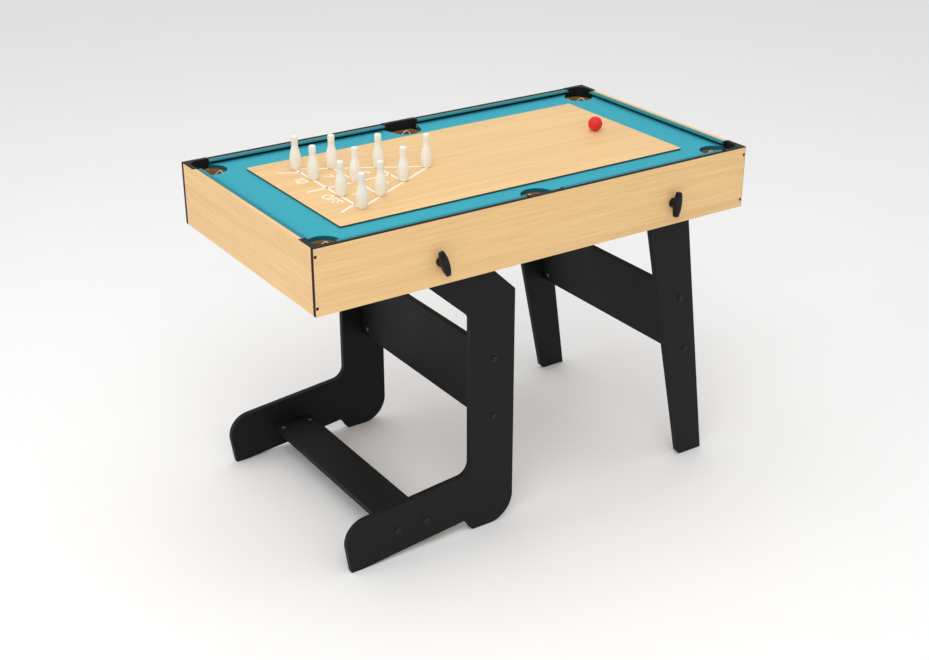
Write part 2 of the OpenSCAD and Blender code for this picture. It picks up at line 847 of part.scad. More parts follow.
on_side(-1) middle_bag();  // bag_front_middle
on_side(1) middle_bag();  // bag_rear_middle
leg_board(-1, leg_pivot, leg_bolt_places) straight_outline();  // leg_front
leg_board(1, leg_pivot, leg_bolt_places) straight_outline();  // leg_rear
at_stretcher(leg_stretcher_at, leg_stretcher_tilt) stretcher_board(stretcher_h, stretcher_bolt_margin);  // leg_stretcher
color("black") at_stretcher(leg_stretcher_at, leg_stretcher_tilt)  // leg_bolts
        stretcher_bolts(stretcher_h, stretcher_bolt_margin);
color("silver") at_stretcher(leg_stretcher_at, leg_stretcher_tilt)  // leg_barrel_nuts
        stretcher_nuts(stretcher_h, stretcher_bolt_margin);
pivot_bushes(leg_pivot);  // leg_pivot_bushes
knob(stand_pivot, -1, stand_knob_tilt);  // knob_stand_front
knob(stand_pivot, 1, stand_knob_tilt);  // knob_stand_rear
knob(leg_pivot, -1, leg_knob_tilt);  // knob_leg_front
knob(leg_pivot, 1, leg_knob_tilt);  // knob_leg_rear
game_board();
pin(1);  // pin_1
pin(2);  // pin_2
pin(3);  // pin_3
pin(4);  // pin_4
pin(5);  // pin_5
pin(6);  // pin_6
pin(7);  // pin_7
pin(8);  // pin_8
pin(9);  // pin_9
pin(10);  // pin_10
ball();
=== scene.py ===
"""Looks of the folding games table, built round its CAD frame."""

import json
import math

import bmesh
import bpy
from bpy.props import FloatProperty, FloatVectorProperty, IntProperty, PointerProperty
from mathutils import Matrix, Vector, noise

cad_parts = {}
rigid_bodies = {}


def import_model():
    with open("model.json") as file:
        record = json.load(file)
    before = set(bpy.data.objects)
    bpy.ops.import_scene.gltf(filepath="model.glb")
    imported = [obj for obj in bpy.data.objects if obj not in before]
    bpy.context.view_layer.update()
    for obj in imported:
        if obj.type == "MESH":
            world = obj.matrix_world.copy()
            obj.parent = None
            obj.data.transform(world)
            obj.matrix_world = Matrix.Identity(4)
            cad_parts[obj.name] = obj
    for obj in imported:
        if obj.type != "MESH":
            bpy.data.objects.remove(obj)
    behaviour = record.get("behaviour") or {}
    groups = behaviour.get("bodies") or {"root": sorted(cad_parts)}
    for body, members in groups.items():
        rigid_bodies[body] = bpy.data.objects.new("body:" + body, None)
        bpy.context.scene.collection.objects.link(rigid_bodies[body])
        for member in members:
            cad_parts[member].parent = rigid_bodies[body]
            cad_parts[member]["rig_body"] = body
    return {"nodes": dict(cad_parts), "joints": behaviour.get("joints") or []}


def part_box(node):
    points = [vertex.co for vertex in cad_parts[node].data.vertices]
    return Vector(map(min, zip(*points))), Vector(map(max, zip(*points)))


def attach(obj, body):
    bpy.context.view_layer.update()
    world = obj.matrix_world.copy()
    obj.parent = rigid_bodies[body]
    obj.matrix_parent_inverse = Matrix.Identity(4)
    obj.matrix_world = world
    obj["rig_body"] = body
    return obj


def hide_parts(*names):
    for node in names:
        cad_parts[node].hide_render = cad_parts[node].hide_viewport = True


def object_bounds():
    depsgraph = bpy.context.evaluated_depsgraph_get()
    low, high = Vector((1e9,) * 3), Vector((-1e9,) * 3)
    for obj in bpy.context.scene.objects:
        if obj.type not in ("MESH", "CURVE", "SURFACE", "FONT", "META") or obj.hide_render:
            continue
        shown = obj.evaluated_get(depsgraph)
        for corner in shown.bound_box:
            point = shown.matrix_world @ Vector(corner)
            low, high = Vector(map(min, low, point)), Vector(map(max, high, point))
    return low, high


bl_info = {
    "name": "Folding games table",
    "version": (1, 0, 0),
    "blender": (4, 5, 0),
    "location": "View3D > Sidebar > Games table",
    "description": "Builds the cloth, cushions, pockets, pins and finishes of a folding games table",
    "category": "Object",
}

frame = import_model()
CAD_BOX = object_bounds()
MM = 0.001
# The bag's rim laps under the bed, and the cloth lines the hole.
RIM_LAP = 1.2 * MM
# Scale of a wave texture that has one wave for each unit of length.
WAVE_SCALE = 0.314159
ENDS = ("left", "right")
SIDES = ("front", "rear")
CORNERS = [(side, end) for side in SIDES for end in ENDS]


# Node trees --------------------------------------------------------------


class Value:
    """A socket of a material's nodes, used in expressions."""

    def __init__(self, finish, socket):
        self.finish = finish
        self.socket = socket

    def _maths(self, operation, first, second):
        return self.finish.node("ShaderNodeMath", {"operation": operation}, {0: first, 1: second})

    def __add__(self, other):
        return self._maths("ADD", self, other)

    def __radd__(self, other):
        return self._maths("ADD", other, self)

    def __sub__(self, other):
        return self._maths("SUBTRACT", self, other)

    def __rsub__(self, other):
        return self._maths("SUBTRACT", other, self)

    def __mul__(self, other):
        return self._maths("MULTIPLY", self, other)

    def __rmul__(self, other):
        return self._maths("MULTIPLY", other, self)


class Finish:
    """A material while its nodes are put together."""

    def __init__(self, name):
        self.material = bpy.data.materials.new(name)
        self.material.use_nodes = True
        self.tree = self.material.node_tree
        self.tree.nodes.clear()
        self.place = self.node("ShaderNodeTexCoord", output="Object")

    def node(self, kind, settings=None, sockets=None, output=0):
        """Adds a node: its settings first, then values or links for its sockets."""
        made = self.tree.nodes.new(kind)
        for key, value in (settings or {}).items():
            if key == "stops":
                ramp = made.color_ramp
                while len(ramp.elements) < len(value):
                    ramp.elements.new(1)
                for stop, (at, shade) in zip(ramp.elements, value):
                    stop.position = at
                    stop.color = (shade, shade, shade, 1)
            else:
                setattr(made, key, value)
        for key, value in (sockets or {}).items():
            if isinstance(value, Value):
                self.tree.links.new(value.socket, made.inputs[key])
            else:
                made.inputs[key].default_value = value
        return Value(self, made.outputs[output])

    def stretched(self, scale):
        """The place on the piece, scaled along each axis."""
        return self.node("ShaderNodeVectorMath", {"operation": "MULTIPLY"}, {0: self.place, 1: scale})

    def cloud(self, scale, detail=2.0, roughness=0.5, distortion=0.0):
        """Soft noise from 0 to 1, with a different scale along each axis."""
        sockets = {"Vector": self.stretched(scale), "Scale": 1.0, "Detail": detail}
        sockets.update({"Roughness": roughness, "Distortion": distortion})
        return self.node("ShaderNodeTexNoise", None, sockets)

    def threads(self, axis, pitch):
        """Ridges across an axis, one for each pitch."""
        settings = {"wave_type": "BANDS", "bands_direction": axis, "wave_profile": "SIN"}
        sockets = {"Vector": self.place, "Scale": WAVE_SCALE / pitch}
        sockets.update({"Distortion": 0.6, "Detail": 1.0, "Detail Scale": 2.0})
        return self.node("ShaderNodeTexWave", settings, sockets, "Fac")

    def ramp(self, value, *stops):
        return self.node("ShaderNodeValToRGB", {"stops": stops}, {"Fac": value})

    def mix(self, share, first, second):
        """A colour between two colours."""
        return self.node("ShaderNodeMix", {"data_type": "RGBA"}, {0: share, 6: colour(first), 7: colour(second)}, 2)

    def bump(self, height, depth, strength=1.0):
        return self.node("ShaderNodeBump", None, {"Height": height, "Distance": depth, "Strength": strength})

    def end(self, base, roughness, normal=None, **fixed):
        """Joins the shader to the output. The fixed values are the same all over the surface."""
        sockets = {"Base Color": colour(base), "Roughness": roughness}
        if normal is not None:
            sockets["Normal"] = normal
        sockets.update({key.replace("_", " "): value for key, value in fixed.items()})
        shader = self.node("ShaderNodeBsdfPrincipled", None, sockets)
        surface = self.tree.nodes.new("ShaderNodeOutputMaterial")
        self.tree.links.new(shader.socket, surface.inputs["Surface"])
        return self.material


def colour(value):
    """A colour with its fourth number, or a link as it is."""
    return value if isinstance(value, Value) else (*value[:3], 1.0)


def shade(value, factor):
    """A colour made lighter or darker."""
    return tuple(min(1.0, c * factor) for c in value[:3])


# Meshes ------------------------------------------------------------------


class Shape:
    """Collects the faces of one piece."""

    def __init__(self):
        self.points = []
        self.faces = []
        self.finishes = []

    def ring(self, points):
        first = len(self.points)
        self.points.extend(Vector(p) for p in points)
        return list(range(first, len(self.points)))

    def face(self, corners, finish=0):
        self.faces.append(list(corners))
        self.finishes.append(finish)

    def band(self, low, high, finish=0, closed=True):
        """Faces between two rings of equal length."""
        count = len(low)
        for i in range(count if closed else count - 1):
            j = (i + 1) % count
            self.face((low[i], low[j], high[j], high[i]), finish)

    def fan(self, ring, centre, finish=0):
        middle = self.ring([centre])[0]
        for i, corner in enumerate(ring):
            self.face((corner, ring[(i + 1) % len(ring)], middle), finish)

    def turned(self, profile, place=Matrix(), sides=48, finish=0):
        """A turned shape about local Z, from pairs of radius and height."""
        last = None
        pole_index = None
        turn = [math.tau * i / sides for i in range(sides)]
        for radius, height in profile:
            if radius < 1e-7:
                pole = place @ Vector((0, 0, height))
                if last is not None:
                    self.fan(last, pole, finish)
                last = None
                pole_index = self.ring([pole])[0]
                continue
            ring = self.ring([place @ Vector((radius * math.cos(a), radius * math.sin(a), height)) for a in turn])
            if last is not None:
                self.band(last, ring, finish)
            elif pole_index is not None and height != profile[0][1]:
                for i, corner in enumerate(ring):
                    self.face((pole_index, ring[(i + 1) % sides], corner), finish)
            last = ring

    def tube(self, path, radius, sides=8, finish=0, closed=False):
        """A round cord along a path."""
        path = [Vector(p) for p in path]
        count = len(path)
        side = None
        rings = []
        for i, point in enumerate(path):
            before = path[i - 1] if i or closed else path[i]
            after = path[(i + 1) % count] if i < count - 1 or closed else path[i]
            along = (after - before).normalized()
            if side is None:
                side = along.orthogonal().normalized()
            side = (side - side.dot(along) * along).normalized()
            up = along.cross(side)
            turn = [math.tau * k / sides for k in range(sides)]
            rings.append(self.ring([point + radius * (math.cos(a) * side + math.sin(a) * up) for a in turn]))
        for low, high in zip(rings, rings[1:]):
            self.band(low, high, finish)
        if closed:
            self.band(rings[-1], rings[0], finish)
        else:
            self.fan(rings[0][::-1], path[0], finish)
            self.fan(rings[-1], path[-1], finish)

    def piece(self, name, body, finishes, stands_for=(), slot=None, sharp=38.0, outwards=True):
        """Makes the object, shades it and lets it ride on its body."""
        mesh = bpy.data.meshes.new(name)
        mesh.from_pydata(self.points, [], self.faces)
        for material in finishes:
            mesh.materials.append(material)
        mesh.polygons.foreach_set("material_index", self.finishes)
        if outwards:
            work = bmesh.new()
            work.from_mesh(mesh)
            bmesh.ops.remove_doubles(work, verts=work.verts, dist=1e-7)
            bmesh.ops.recalc_face_normals(work, faces=work.faces)
            work.to_mesh(mesh)
            work.free()
        return placed(name, mesh, body, stands_for, sharp)


def placed(name, mesh, body, stands_for, sharp):
    """Puts a finished mesh in the scene on its CAD body."""
    mesh.validate()
    mesh.shade_smooth()
    mesh.set_sharp_from_angle(angle=math.radians(sharp))
    obj = bpy.data.objects.new(name, mesh)
    bpy.context.scene.collection.objects.link(obj)
    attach(obj, body)
    if stands_for:
        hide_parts(*stands_for)
    return obj


def body_of(node):
    """The body that holds a CAD node."""
    return frame["nodes"][node]["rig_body"]


def eased(node, material, radius, steps=2):
    """A copy of a CAD node with its sharp edges rounded over, which stands for that node."""
    work = bmesh.new()
    work.from_mesh(frame["nodes"][node].data)
    bmesh.ops.remove_doubles(work, verts=work.verts, dist=2e-6)
    bmesh.ops.dissolve_limit(work, angle_limit=math.radians(0.8), verts=work.verts, edges=work.edges)
    sharp = [e for e in work.edges if e.is_manifold and e.calc_face_angle() > math.radians(40)]
    bmesh.ops.bevel(
        work, geom=sharp, offset=radius, offset_type="OFFSET", segments=steps, profile=0.5,
        affect="EDGES", clamp_overlap=False,
    )
    bmesh.ops.triangulate(work, faces=[f for f in work.faces if len(f.verts) > 4])
    mesh = bpy.data.meshes.new(node + "_eased")
    work.to_mesh(mesh)
    work.free()
    mesh.materials.clear()
    mesh.materials.append(material)
    obj = placed(node + "_eased", mesh, body_of(node), (node,), 50.0)
    weighted = obj.modifiers.new("Even shading", "WEIGHTED_NORMAL")
    weighted.keep_sharp = True
    return obj


def coat(material, *nodes):
    """Gives CAD nodes that stay as they are a material."""
    for name in nodes:
        obj = frame["nodes"][name]
        if not obj.material_slots:
            obj.data.materials.append(material)
        for slot in obj.material_slots:
            slot.material = material


def curved(points, steps, closed=False):
    """A smooth line through points, with a number of steps from each point to the next."""
    points = [Vector(p) for p in points]
    count = len(points)
    line = []
    for i in range(count if closed else count - 1):
        a = points[(i - 1) % count] if closed or i else points[i]
        b, c = points[i], points[(i + 1) % count]
        d = points[(i + 2) % count] if closed or i + 2 < count else c
        for k in range(steps):
            t = k / steps
            line.append(
                0.5 * (2 * b + (c - a) * t + (2 * a - 5 * b + 4 * c - d) * t * t + (3 * b - a - 3 * c + d) * t ** 3)
            )
    if not closed:
        line.append(points[-1])
    return line


def pocket(side, where):
    """Centre and rim radius of a pocket, from its bag in the CAD."""
    low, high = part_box(f"bag_{side}_{where}")
    radius = (high.x - low.x) / 2
    inner = high.y - radius if side == "front" else low.y + radius
    return Vector(((low.x + high.x) / 2, inner, high.z)), radius


# Settings ----------------------------------------------------------------


def length(name, description, value, most):
    return FloatProperty(
        name=name, description=description, default=value, min=0, max=most, subtype="DISTANCE", unit="LENGTH",
    )


def paint(name, description, value):
    return FloatVectorProperty(name=name, description=description, default=value, min=0, max=1, size=3, subtype="COLOR")


class GamesTableSizes(bpy.types.PropertyGroup):
    board_edge: length("Board edge", "Rounding of the laminate boards' edges", 0.4 * MM, 2 * MM)
    leg_edge: length("Leg edge", "Rounding of the legs' edges", 0.8 * MM, 2 * MM)
    cap_edge: length("Cap edge", "Rounding of the pocket caps' edges", 0.45 * MM, 1 * MM)
    cloth_roll: length("Cloth roll", "Radius of the cloth where it turns down into a pocket", 1.6 * MM, 3 * MM)
    cushion_nose: length("Cushion nose", "Radius of the cushions' nose", 2.6 * MM, 3.6 * MM)
    bag_fold: length("Bag fold", "Depth of the folds in a pocket bag", 1.1 * MM, 3 * MM)
    cord: length("Cord", "Thickness of the white cords in the bags", 2.8 * MM, 4 * MM)
    line: length("Line", "Width of the printed lines", 5.6 * MM, 6 * MM)
    numeral: length("Numeral", "Height of the printed numerals", 26 * MM, 30 * MM)
    pin_sides: IntProperty(name="Pin sides", description="Faces round a pin", default=56, min=16, max=128)


class GamesTableColours(bpy.types.PropertyGroup):
    laminate: paint("Laminate", "Light tone of the wood print", (0.85, 0.566, 0.262))
    laminate_grain: paint("Laminate grain", "Dark tone of the wood print", (0.64, 0.385, 0.165))
    foil: paint("Leg foil", "Black foil on the legs", (0.0078, 0.0078, 0.0083))
    cloth: paint("Bed cloth", "Cloth on the bed", (0.040, 0.355, 0.448))
    cushion: paint("Cushion cloth", "Cloth over the cushions", (0.016, 0.20, 0.245))
    cap: paint("Pocket caps", "Moulded black plastic", (0.008, 0.008, 0.0085))
    bag: paint("Pocket bags", "Brown woven cloth", (0.26, 0.125, 0.030))
    cord: paint("Bag cords", "White cord", (0.80, 0.76, 0.68))
    knob: paint("Knobs", "Black nylon", (0.004, 0.004, 0.005))
    pin: paint("Pins", "Ivory plastic", (0.86, 0.83, 0.74))
    ball: paint("Ball", "Red plastic", (0.70, 0.018, 0.020))
    ink: paint("Ink", "White print on the game board", (0.93, 0.90, 0.82))
    chipboard: paint("Chipboard", "Bare boards under the bed", (0.47, 0.31, 0.17))
    floor: paint("Floor", "Studio floor", (0.93, 0.93, 0.93))


# Finishes ----------------------------------------------------------------


def wood_print(name, colours, along):
    """Satin laminate with a fine wood print; along says which axis the grain follows."""
    stretch = lambda long, across: tuple(long if i == along else across for i in range(3))
    made = Finish(name)
    bands = made.cloud(stretch(1.5, 34), 3, 0.55, 0.5)
    streaks = made.cloud(stretch(5, 210), 4, 0.6, 0.25)
    pores = made.cloud(stretch(30, 1500), 2, 0.5)
    flecks = made.ramp(pores, (0.56, 0.0), (0.74, 1.0))
    share = made.ramp(bands * 0.45 + streaks * 0.55, (0.38, 0.0), (0.64, 1.0))
    base = made.mix(share * 0.55, colours.laminate, colours.laminate_grain)
    base = made.mix(flecks * 0.30, base, shade(colours.laminate_grain, 0.8))
    normal = made.bump(flecks * -0.5 + streaks * 0.3, 0.05 * MM, 0.5)
    return made.end(base, 0.40 + streaks * 0.14, normal, Specular_IOR_Level=0.35)


def leg_foil(colours):
    made = Finish("Leg foil")
    grain = made.cloud((1100, 1100, 1100), 2, 0.6)
    patches = made.cloud((14, 14, 14), 3, 0.5)
    base = made.mix(patches * 0.5 + grain * 0.25, shade(colours.foil, 0.85), shade(colours.foil, 1.35))
    return made.end(base, 0.50 + patches * 0.12, made.bump(grain, 0.06 * MM, 0.6), Specular_IOR_Level=0.16)


def black_band(colours):
    made = Finish("Edge band")
    drag = made.cloud((60, 900, 900), 2, 0.5)
    base = made.mix(drag, (0.004, 0.004, 0.0045), (0.009, 0.009, 0.0095))
    return made.end(base, 0.5 + drag * 0.12, made.bump(drag, 0.03 * MM, 0.4), Specular_IOR_Level=0.12)


def woven(name, base, pitch, depth, fuzz, roughness, sheen):
    """Close woven cloth: crossing threads, with a soft nap over them."""
    made = Finish(name)
    weave = made.threads("X", pitch) * made.threads("Y", pitch) + made.threads("Z", pitch) * 0.5
    nap = made.cloud((900, 900, 900), 3, 0.65)
    worn = made.cloud((9, 9, 9), 3, 0.5)
    tone = made.mix(weave * 0.35 + nap * 0.35, shade(base, 0.86), shade(base, 1.12))
    tone = made.mix(worn * fuzz, tone, shade(base, 1.22))
    normal = made.bump(weave * 0.6 + nap * 0.7, depth, 0.7)
    return made.end(
        tone, roughness + nap * 0.08, normal,
        Sheen_Weight=sheen, Sheen_Roughness=0.45, Sheen_Tint=(*shade(base, 2.0), 1.0), Specular_IOR_Level=0.2,
    )


def moulded(name, base, roughness, specular=0.4):
    """Moulded plastic with a spark-eroded texture."""
    made = Finish(name)
    spark = made.cloud((2200, 2200, 2200), 2, 0.6)
    flow = made.cloud((30, 30, 30), 2, 0.5)
    tone = made.mix(flow, shade(base, 0.9), shade(base, 1.15))
    return made.end(tone, roughness + spark * 0.15, made.bump(spark, 0.03 * MM, 0.5), Specular_IOR_Level=specular)


def metal(name, base, roughness, metallic):
    made = Finish(name)
    brushed = made.cloud((1800, 1800, 260), 2, 0.6)
    tone = made.mix(brushed, shade(base, 0.85), shade(base, 1.1))
    return made.end(tone, roughness + brushed * 0.15, made.bump(brushed, 0.01 * MM, 0.5), Metallic=metallic)


def chipboard(colours):
    made = Finish("Chipboard")
    sockets = {"Vector": made.stretched((330, 330, 330)), "Scale": 1.0}
    chips = made.node("ShaderNodeTexVoronoi", {"feature": "F1"}, sockets, "Color")
    dust = made.cloud((900, 900, 900), 3, 0.6)
    light, dark = shade(colours.chipboard, 1.18), shade(colours.chipboard, 0.72)
    tone = made.mix(dust, made.mix(made.ramp(chips, (0.1, 0.0), (0.9, 1.0)), light, dark), colours.chipboard)
    return made.end(tone, 0.78 + dust * 0.1, made.bump(dust, 0.15 * MM, 0.6), Specular_IOR_Level=0.2)


def twisted_cord(colours):
    made = Finish("Bag cord")
    twist = made.cloud((700, 700, 300), 2, 0.5, 1.5)
    base = made.mix(twist, shade(colours.cord, 0.72), colours.cord)
    return made.end(base, 0.75 + twist * 0.1, made.bump(twist, 0.25 * MM, 0.8), Sheen_Weight=0.2)


def pin_plastic(colours):
    made = Finish("Pin plastic")
    haze = made.cloud((70, 70, 40), 3, 0.5)
    base = made.mix(haze, shade(colours.pin, 0.95), colours.pin)
    return made.end(
        base, 0.34 + haze * 0.12, made.bump(haze, 0.05 * MM, 0.3),
        Subsurface_Weight=0.25, Subsurface_Radius=(0.01, 0.009, 0.007), Subsurface_Scale=0.4, Specular_IOR_Level=0.4,
    )


def ball_plastic(colours):
    made = Finish("Ball plastic")
    swirl = made.cloud((90, 90, 90), 3, 0.5, 0.6)
    base = made.mix(swirl, shade(colours.ball, 0.9), shade(colours.ball, 1.06))
    return made.end(base, 0.46 + swirl * 0.12, made.bump(swirl, 0.03 * MM, 0.3), Specular_IOR_Level=0.35)


def white_ink(colours):
    made = Finish("White ink")
    wear = made.cloud((500, 500, 500), 3, 0.6)
    base = made.mix(wear, shade(colours.ink, 0.93), colours.ink)
    return made.end(base, 0.42 + wear * 0.1, made.bump(wear, 0.01 * MM, 0.3), Specular_IOR_Level=0.3)


# Operators ---------------------------------------------------------------


class GAMESTABLE_OT_panels(bpy.types.Operator):
    """Finishes the side and end panels and their black edge bands"""

    bl_idname = "games_table.panels"
    bl_label = "Panels"
    bl_options = {"REGISTER", "UNDO"}

    def execute(self, context):
        sizes = context.scene.games_table_sizes
        colours = context.scene.games_table_colours
        long_grain = wood_print("Laminate along", colours, 0)
        cross_grain = wood_print("Laminate across", colours, 1)
        for side in SIDES:
            eased(f"side_panel_{side}", long_grain, sizes.board_edge * 0.5)
        for end in ENDS:
            eased(f"end_panel_{end}", cross_grain, sizes.board_edge)
        coat(black_band(colours), "edge_band_front", "edge_band_rear")
        return {"FINISHED"}


class GAMESTABLE_OT_legs(bpy.types.Operator):
    """Finishes the stand's and the straight legs' boards in black foil"""

    bl_idname = "games_table.legs"
    bl_label = "Legs"
    bl_options = {"REGISTER", "UNDO"}

    def execute(self, context):
        sizes = context.scene.games_table_sizes
        colours = context.scene.games_table_colours
        foil = leg_foil(colours)
        for node in (
            "stand_leg_front", "stand_leg_rear", "stand_stretcher", "foot_stretcher",
            "leg_front", "leg_rear", "leg_stretcher",
        ):
            eased(node, foil, sizes.leg_edge, 3)
        return {"FINISHED"}


class GAMESTABLE_OT_fasteners(bpy.types.Operator):
    """Finishes the bolts, screws, barrel nuts and bushes"""

    bl_idname = "games_table.fasteners"
    bl_label = "Fasteners"
    bl_options = {"REGISTER", "UNDO"}

    def execute(self, context):
        black = metal("Black oxide", (0.006, 0.006, 0.007), 0.42, 0.2)
        for node in ("stand_bolts", "leg_bolts"):
            eased(node, black, 0.25 * MM)
        coat(black, "frame_screws")
        coat(
            metal("Zinc", (0.62, 0.61, 0.58), 0.30, 1.0),
            "stand_barrel_nuts", "stand_pivot_bushes", "leg_barrel_nuts", "leg_pivot_bushes",
        )
        return {"FINISHED"}


class GAMESTABLE_OT_bed(bpy.types.Operator):
    """Builds the stretched bed cloth, and finishes the boards under it"""

    bl_idname = "games_table.bed"
    bl_label = "Bed"
    bl_options = {"REGISTER", "UNDO"}

    def execute(self, context):
        sizes = context.scene.games_table_sizes
        colours = context.scene.games_table_colours
        board = chipboard(colours)
        for node in ("bed_battens", "end_cleats", "corner_blocks"):
            eased(node, board, sizes.board_edge)
        coat(board, "bed_board")
        low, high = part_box("bed_cloth")
        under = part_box("bed_board")[0].z
        shape = Shape()
        round_bed = [("front", end) for end in ("left", "middle", "right")]
        round_bed += [("rear", end) for end in ("right", "middle", "left")]
        rims = [self.rim(side, end, low, high) for side, end in round_bed]
        roll = sizes.cloth_roll
        outline = [p + n * roll for rim in rims for p, n in rim]
        shape.face(shape.ring([Vector((p.x, p.y, high.z)) for p in outline]))
        for rim in rims:
            rings = []
            for k in range(10):
                bend = math.pi / 2 * min(k, 6) / 6
                out = roll * (1 - math.sin(bend))
                down = roll * (1 - math.cos(bend))
                if k > 6:
                    down = roll + (high.z - roll - under) * (k - 6) / 3
                rings.append(shape.ring([Vector((p.x + n.x * out, p.y + n.y * out, high.z - down)) for p, n in rim]))
            # Rings past the fourth, where the cloth turns down into the pocket, take the second finish, which is
            # painted shade.
            for k, (first, second) in enumerate(zip(rings, rings[1:])):
                shape.band(first, second, 1 if k > 3 else 0, closed=False)
        cloth = woven("Bed cloth", colours.cloth, 0.75 * MM, 0.12 * MM, 0.16, 0.80, 0.30)
        # The turned-down cloth is a darker copy of the bed cloth: painted shade.
        turned = woven("Turned cloth painted shade", shade(colours.cloth, 0.34), 0.75 * MM, 0.12 * MM, 0.10, 0.85, 0.10)
        obj = shape.piece("bed_cloth_stretched", "table_top", [cloth, turned], ["bed_cloth"], "bed_cloth", 60)
        work = bmesh.new()
        work.from_mesh(obj.data)
        bmesh.ops.triangulate(work, faces=[f for f in work.faces if len(f.verts) > 4])
        if sum(f.normal.z * f.calc_area() for f in work.faces) < 0:
            bmesh.ops.reverse_faces(work, faces=work.faces)
        work.to_mesh(obj.data)
        work.free()
        return {"FINISHED"}

    def rim(self, side, end, low, high):
        """The rim of a pocket in the bed, round the bed anticlockwise: points and the way into the cloth."""
        centre, bag = pocket(side, end)
        hole = bag - RIM_LAP
        cap_low, cap_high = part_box(f"cap_{side}_{end}")
        edge_y = low.y if side == "front" else high.y
        if end == "middle":
            tips = [Vector((cap_low.x, edge_y)), Vector((cap_high.x, edge_y))]
        else:
            edge_x = low.x if end == "left" else high.x
            arm_x = cap_high.x if end == "left" else cap_low.x
            arm_y = cap_high.y if side == "front" else cap_low.y
            tips = [Vector((edge_x, arm_y)), Vector((arm_x, edge_y))]
        centre_way = Vector((low.x + high.x, low.y + high.y)) / 2 - Vector((centre.x, centre.y))
        if (tips[1] - tips[0]).cross(centre_way) < 0:
            tips.reverse()
        middle = Vector((centre.x, centre.y))
        start, stop = (self.touch(middle, hole, tip, turn) for tip, turn in zip(tips, (-1, 1)))
        first = math.atan2(start.y - middle.y, start.x - middle.x)
        last = math.atan2(stop.y - middle.y, stop.x - middle.x)
        while last > first:
            last -= math.tau
        steps = 40
        arc = []
        for i in range(steps + 1):
            angle = first + (last - first) * i / steps
            n = Vector((math.cos(angle), math.sin(angle)))
            arc.append((middle + n * hole, n))
        return [(tips[0], arc[0][1])] + arc + [(tips[1], arc[-1][1])]

    def touch(self, centre, radius, tip, turn):
        """Where the line from the tip touches the circle."""
        off = tip - centre
        angle = math.atan2(off.y, off.x) + turn * math.acos(radius / off.length)
        return centre + radius * Vector((math.cos(angle), math.sin(angle)))


class GAMESTABLE_OT_cushions(bpy.types.Operator):
    """Builds the six cushions in their cloth, with near-black painted shade on their undersides"""

    bl_idname = "games_table.cushions"
    bl_label = "Cushions"
    bl_options = {"REGISTER", "UNDO"}

    def execute(self, context):
        sizes = context.scene.games_table_sizes
        colours = context.scene.games_table_colours
        cloth = woven("Cushion cloth", colours.cushion, 0.6 * MM, 0.08 * MM, 0.10, 0.58, 0.5)
        # Near-black material for the cushions' undersides: painted shade under the noses.
        painted_undercut_shade = moulded("Cushion rubber", (0.004, 0.009, 0.011), 0.7, 0.1)
        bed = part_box("bed_cloth")[1].z
        for node in (n for n in frame["nodes"] if n.startswith("cushion_")):
            low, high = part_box(node)
            along_x = high.x - low.x > high.y - low.y
            inner = Vector((-math.copysign(1, low.x + high.x), 0, 0))
            if along_x:
                inner = Vector((0, -math.copysign(1, low.y + high.y), 0))
            along = Vector((1, 0, 0)) if along_x else Vector((0, 1, 0))
            depth = (high.y - low.y) if along_x else (high.x - low.x)
            rise = high.z - low.z
            section = self.section(depth, rise, bed - low.z, sizes.cushion_nose)
            start = Vector((low.x, low.y, low.z))
            if inner.x < 0:
                start.x = high.x
            if inner.y < 0:
                start.y = high.y
            span = (high - low).dot(along)
            self.bar(node, start, along, inner, span, section, cloth, painted_undercut_shade)
        return {"FINISHED"}

    def section(self, depth, rise, foot, nose):
        """The cushion's outline, from its foot on the bed round the nose to the top by the panel."""
        foot += 0.15 * MM
        corner = [
            (0.0, foot), (depth * 0.20, foot), (depth * 0.42, 0.0), (depth * 0.78, rise * 0.30),
            (depth - nose * 0.35, rise * 0.46), (depth, rise * 0.66), (depth - nose * 0.22, rise * 0.86),
            (depth - nose * 0.85, rise * 0.975), (depth * 0.55, rise), (depth * 0.2, rise * 0.985), (0.0, rise * 0.93),
        ]
        return [(p.x, p.y) for p in curved([Vector((x, y)) for x, y in corner], 4)]

    def bar(self, node, start, along, inner, span, section, cloth, painted_undercut_shade):
        """Sweeps the section along the cushion, with soft ends and a little life in the cloth."""
        shape = Shape()
        ease = 1.4 * MM
        stops = [0, 0.25 * ease, 0.6 * ease, ease]
        count = max(6, round(span / (12 * MM)))
        stops += [ease + (span - 2 * ease) * i / count for i in range(1, count)]
        stops += [span - ease, span - 0.6 * ease, span - 0.25 * ease, span]
        middle = Vector((sum(x for x, y in section), sum(y for x, y in section))) / len(section)
        last = None
        for stop in stops:
            near = min(stop, span - stop)
            shrink = 1.0 if near >= ease else 1 - 0.13 * (1 - near / ease) ** 2
            ring = []
            for x, y in section:
                px = middle.x + (x - middle.x) * shrink
                py = middle.y + (y - middle.y) * shrink
                at = start + along * stop
                swell = noise.noise(Vector((stop * 14, x * 30, start.x * 5 + start.y * 9))) * 0.12 * MM
                px = min(max(px + swell * (x > 0), 0.0), max(s[0] for s in section))
                ring.append(at + inner * px + Vector((0, 0, py + swell * 0.4)))
            ring = shape.ring(ring)
            if last is not None:
                shape.band(last, ring)
                # The section's first points, from the foot up under the nose, and the back face take the near-black
                # painted shade.
                for k in range(len(ring)):
                    if k < 15 or k == len(ring) - 1:
                        shape.finishes[k - len(ring)] = 1
            else:
                shape.face(ring[::-1])
            last = ring
        shape.face(last)
        obj = shape.piece(node + "_covered", "table_top", [cloth, painted_undercut_shade], [node], "cushion_cloth", 55)


